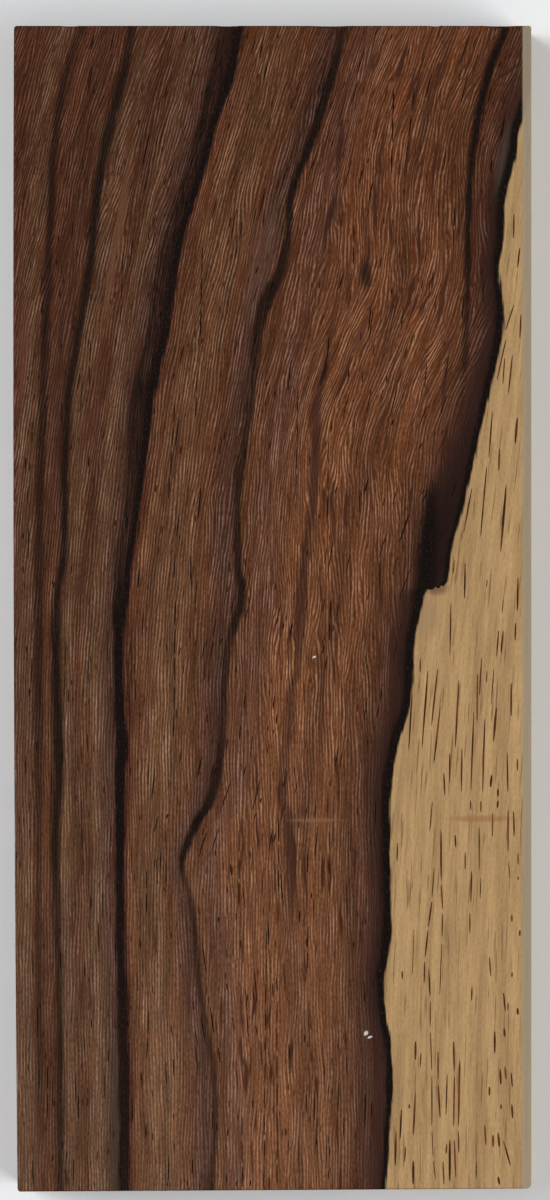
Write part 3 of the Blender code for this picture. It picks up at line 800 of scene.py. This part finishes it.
def dashes(upper_x, upper_y, lower_x, lower_y, width, level, longest=PORE_STRETCH):
    """One open pore, as a row of spindles: its walls are broken wherever the vessel's cells meet."""
    count = max(1, round((upper_y - lower_y) / longest))
    row = []
    for index in range(count):
        start = index / count
        end = (index + 1) / count - (0.1 + 0.3 * dice.random()) / max(upper_y - lower_y, 1.5)
        first = Vector((upper_x + (lower_x - upper_x) * start, upper_y + (lower_y - upper_y) * start, level))
        last = Vector((upper_x + (lower_x - upper_x) * end, upper_y + (lower_y - upper_y) * end, level))
        first.x += 0.05 * (dice.random() - 0.5)
        thick = width * (0.8 + 0.4 * dice.random())
        row.append(((first + last) / 2, first - last, (first - last).length, thick, thick))
    return row


def stands_clear(spindle, others):
    """Whether a spindle touches none of the others, so that each cut is a clean one."""
    middle, direction, length, width = spindle[:4]
    way = direction.normalized() * length / 2
    for other_middle, other_direction, other_length, other_width, other_depth in others:
        if (middle - other_middle).length > (length + other_length) / 2 + 0.5:
            continue
        other_way = other_direction.normalized()
        for step in range(-4, 5):
            point = middle + way * step / 4
            share = 2 * (point - other_middle).dot(other_way) / other_length
            share = max(-1.0, min(1.0, share))
            nearest = other_middle + other_way * share * other_length / 2
            wall = width / 2 * math.sqrt(1.0 - (step / 4) ** 2)
            wall += other_width / 2 * math.sqrt(1.0 - share ** 2)
            if (point - nearest).length < wall + PORE_WALL:
                return False
    return True


# Open pores, cut as the saw and the plane cut them: long grooves on the faces, round holes in the ends
heart_spindles = []
sap_spindles = []
for pores, kept, swell, longest in (
    (HEART_PORES, heart_spindles, 1.0, PORE_STRETCH),
    (SAP_VESSELS, sap_spindles, VESSEL_SWELL, VESSEL_STRETCH),
):
    for *ends, width in pores:
        row = dashes(*ends, width * swell, SHOW_LEVEL, longest)
        kept += [dash for dash in row if stands_clear(dash, kept)]
for level, share in ((SHOW_LEVEL, 0.0), (BACK_LEVEL, 1.0)):
    count = 0
    while count < MORE_PORES:
        x = somewhere(SIDE_MM)
        height = somewhere(END_MM)
        length = 1.0 + 4.0 * dice.random() ** 2
        if x > across_at(SAPWOOD_EDGE, height) - 0.8:
            continue
        count += 1
        lower_y = max(height - length, -END_MM + 0.6)
        sunk = share * THICKNESS_MM * (LEAN_LEFT + (LEAN_RIGHT - LEAN_LEFT) * (x / SIDE_MM + 1) / 2)
        new_x = along_grain(x, height, lower_y)
        if min(x, new_x) - sunk < -SIDE_MM + 1.2:
            continue
        width = 0.13 + 0.08 * dice.random()
        row = dashes(x - sunk, min(height, END_MM - 0.6), new_x - sunk, lower_y, width, level)
        heart_spindles += [dash for dash in row if stands_clear(dash, heart_spindles)]
for number in range(BACK_VESSELS):
    height = somewhere(END_MM) * PORE_SPAN
    edge = across_at(SAPWOOD_EDGE, height) - THICKNESS_MM * LEAN_RIGHT
    x = edge + 1.0 + (SIDE_MM - 1.6 - edge) * dice.random()
    lower_y = max(height - 1.5 - 5.0 * dice.random(), -END_MM + 0.8)
    lower_x = x + sap_drift(lower_y) - sap_drift(height)
    row = dashes(x, height, lower_x, lower_y, BACK_WIDTH, BACK_LEVEL, VESSEL_STRETCH)
    sap_spindles += [dash for dash in row if stands_clear(dash, sap_spindles)]
for side in (-SIDE_MM, SIDE_MM):
    for number in range(SIDE_PORES):
        height = somewhere(END_MM) * PORE_SPAN
        level = 1.6 + (THICKNESS_MM - 3.2) * dice.random()
        wall = side - math.copysign(PORE_SUNK, side)
        if side < 0:
            wall += LEFT_HOLLOW * ((height - LEFT_CREST_Y) / (LEFT_CREST_Y + END_MM)) ** 2
        lower_y = max(height - 1.0 - 4.0 * dice.random(), -END_MM + 0.8)
        row = dashes(wall, height, wall, lower_y, 0.2, level)
        kept = sap_spindles if side > 0 else heart_spindles
        kept += [dash for dash in row if stands_clear(dash, kept)]
for end in (-END_MM, END_MM):
    for number in range(END_PORES):
        x = somewhere(SIDE_MM - 1.0)
        level = 0.8 + (THICKNESS_MM - 2.0) * dice.random()
        wall = end - math.copysign(PORE_SUNK, end)
        if end < 0:
            wall += END_SKEW * (x / SIDE_MM + 1) / 2
        thick = 0.14 + 0.12 * dice.random()
        hole = (Vector((x, wall, level)), Vector((0.0, 1.0, 0.0)), 0.6, thick, thick)
        edge = across_at(SAPWOOD_EDGE, end) - LEAN_RIGHT * (THICKNESS_MM - level)
        kept = sap_spindles if x > edge else heart_spindles
        if stands_clear(hole, heart_spindles) and stands_clear(hole, sap_spindles):
            kept.append(hole)
heart_gum = gum_material("dark gum", *HEART_GUM)
sap_gum = gum_material("brown gum", *SAP_GUM)
cut_away(block, spindle_cutter("heartwood pores", heart_spindles, heart_gum))
cut_away(block, spindle_cutter("sapwood vessels", sap_spindles, sap_gum))

# A cut can leave a face out at the tip of a pore, so any such small hole is filled before the shading is set
bpy.ops.object.select_all(action="DESELECT")
block.select_set(True)
bpy.context.view_layer.objects.active = block
bpy.ops.object.mode_set(mode="EDIT")
bpy.ops.mesh.select_all(action="SELECT")
bpy.ops.mesh.fill_holes(sides=8)
bpy.ops.object.mode_set(mode="OBJECT")
bpy.ops.object.shade_smooth_by_angle(angle=math.radians(30))
for face in block.data.polygons:
    if face.material_index > 0 or max(abs(part) for part in face.normal) > 0.9999:
        face.use_smooth = False

# The map that its surface is painted on, with a box for each side of the block. A side is given as the axis
# it faces along and which way. Its box is the axes that run across and up, then left, low, right and high.
MAP_BOXES = {
    (2, 1): (0, 1, 0.007, 0.007, 0.593, 0.913),
    (2, -1): (0, 1, 0.600, 0.007, 0.873, 0.913),
    (0, 1): (2, 1, 0.880, 0.007, 0.933, 0.913),
    (0, -1): (2, 1, 0.940, 0.007, 0.993, 0.913),
    (1, 1): (0, 2, 0.007, 0.920, 0.593, 0.993),
    (1, -1): (0, 2, 0.600, 0.920, 0.993, 0.993),
}


def side_of(face):
    """The side of the block that a face is part of. A pore belongs to the side it opens on."""
    if face.material_index == 0:
        axis = max(range(3), key=lambda number: abs(face.normal[number]))
        return axis, 1 if face.normal[axis] > 0 else -1
    gaps = {(axis, 1): BLOCK_HIGH[axis] - face.center[axis] for axis in range(3)}
    gaps.update({(axis, -1): face.center[axis] - BLOCK_LOW[axis] for axis in range(3)})
    return min(gaps, key=gaps.get)


while block.data.uv_layers:
    block.data.uv_layers.remove(block.data.uv_layers[0])
painting = block.data.uv_layers.new(name="OFBake")
for face in block.data.polygons:
    across_axis, up_axis, left, low, right, high = MAP_BOXES[side_of(face)]
    for corner in face.loop_indices:
        spot = block.data.vertices[block.data.loops[corner].vertex_index].co
        share_u = (spot[across_axis] - BLOCK_LOW[across_axis]) / block_size[across_axis]
        share_v = (spot[up_axis] - BLOCK_LOW[up_axis]) / block_size[up_axis]
        painting.uv[corner].vector = (left + (right - left) * share_u, low + (high - low) * share_v)

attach(block, "root")
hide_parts("rosewood_block")

# The floor
# A plain pale sheet that the block lies on, of matt card. It is one flat square.

FLOOR_SIZE = 8.0
FLOOR_COLOUR = (0.80, 0.815, 0.83, 1.0)
FLOOR_ROUGHNESS = 0.9
FLOOR_SHINE = 0.1

bpy.ops.object.select_all(action="DESELECT")
bpy.ops.mesh.primitive_plane_add(size=FLOOR_SIZE, location=(0.0, 0.0, 0.0))
floor = bpy.context.object
floor.name = "floor"
floor_material = bpy.data.materials.new("pale sheet")
floor_material.use_nodes = True
floor_shader = floor_material.node_tree.nodes["Principled BSDF"]
floor_shader.inputs["Base Color"].default_value = FLOOR_COLOUR
floor_shader.inputs["Roughness"].default_value = FLOOR_ROUGHNESS
floor_shader.inputs["Specular IOR Level"].default_value = FLOOR_SHINE
floor.data.materials.append(floor_material)

# The light
# Two wide soft lamps, one to each side and low enough to keep their gleam off the show face.

LAMP_DISTANCE = 1.6
LAMP_HEIGHT = 36.0          # degrees above the floor
LAMP_SIZE = 1.0
ROOM_COLOUR = (1.0, 0.99, 0.97, 1.0)
ROOM_STRENGTH = 0.22


def soft_lamp(name, azimuth, power):
    """A square lamp that looks at the block from one side."""
    turn = math.radians(azimuth)
    height = math.radians(LAMP_HEIGHT)
    away = Vector((math.cos(turn) * math.cos(height), math.sin(turn) * math.cos(height), math.sin(height)))
    data = bpy.data.lights.new(name, "AREA")
    data.energy = power
    data.size = LAMP_SIZE
    lamp = bpy.data.objects.new(name, data)
    lamp.location = away * LAMP_DISTANCE
    lamp.rotation_euler = away.to_track_quat("Z", "Y").to_euler()
    bpy.context.scene.collection.objects.link(lamp)


soft_lamp("window lamp", 160.0, 23.0)
soft_lamp("fill lamp", -20.0, 18.0)

world = bpy.data.worlds.new("room")
world.use_nodes = True
world.node_tree.nodes["Background"].inputs["Color"].default_value = ROOM_COLOUR
world.node_tree.nodes["Background"].inputs["Strength"].default_value = ROOM_STRENGTH
bpy.context.scene.world = world
bpy.context.scene.view_settings.view_transform = "Standard"

# The camera
# Straight above the show face, far off behind a long lens, as flat as a copy stand gives.

PICTURE_HEIGHT = 0.15433    # how much of the block's plane the picture's height covers
PICTURE_MIDDLE = Vector((0.00033, 0.00113, BLOCK_HIGH.z))
LENS_MM = 200.0
SENSOR_MM = 36.0

camera_data = bpy.data.cameras.new("camera")
camera_data.lens = LENS_MM
camera_data.sensor_width = SENSOR_MM
camera_data.clip_end = 20.0
camera = bpy.data.objects.new("camera", camera_data)
camera.location = PICTURE_MIDDLE + Vector((0.0, 0.0, PICTURE_HEIGHT * LENS_MM / SENSOR_MM))
bpy.context.scene.collection.objects.link(camera)
bpy.context.scene.camera = camera
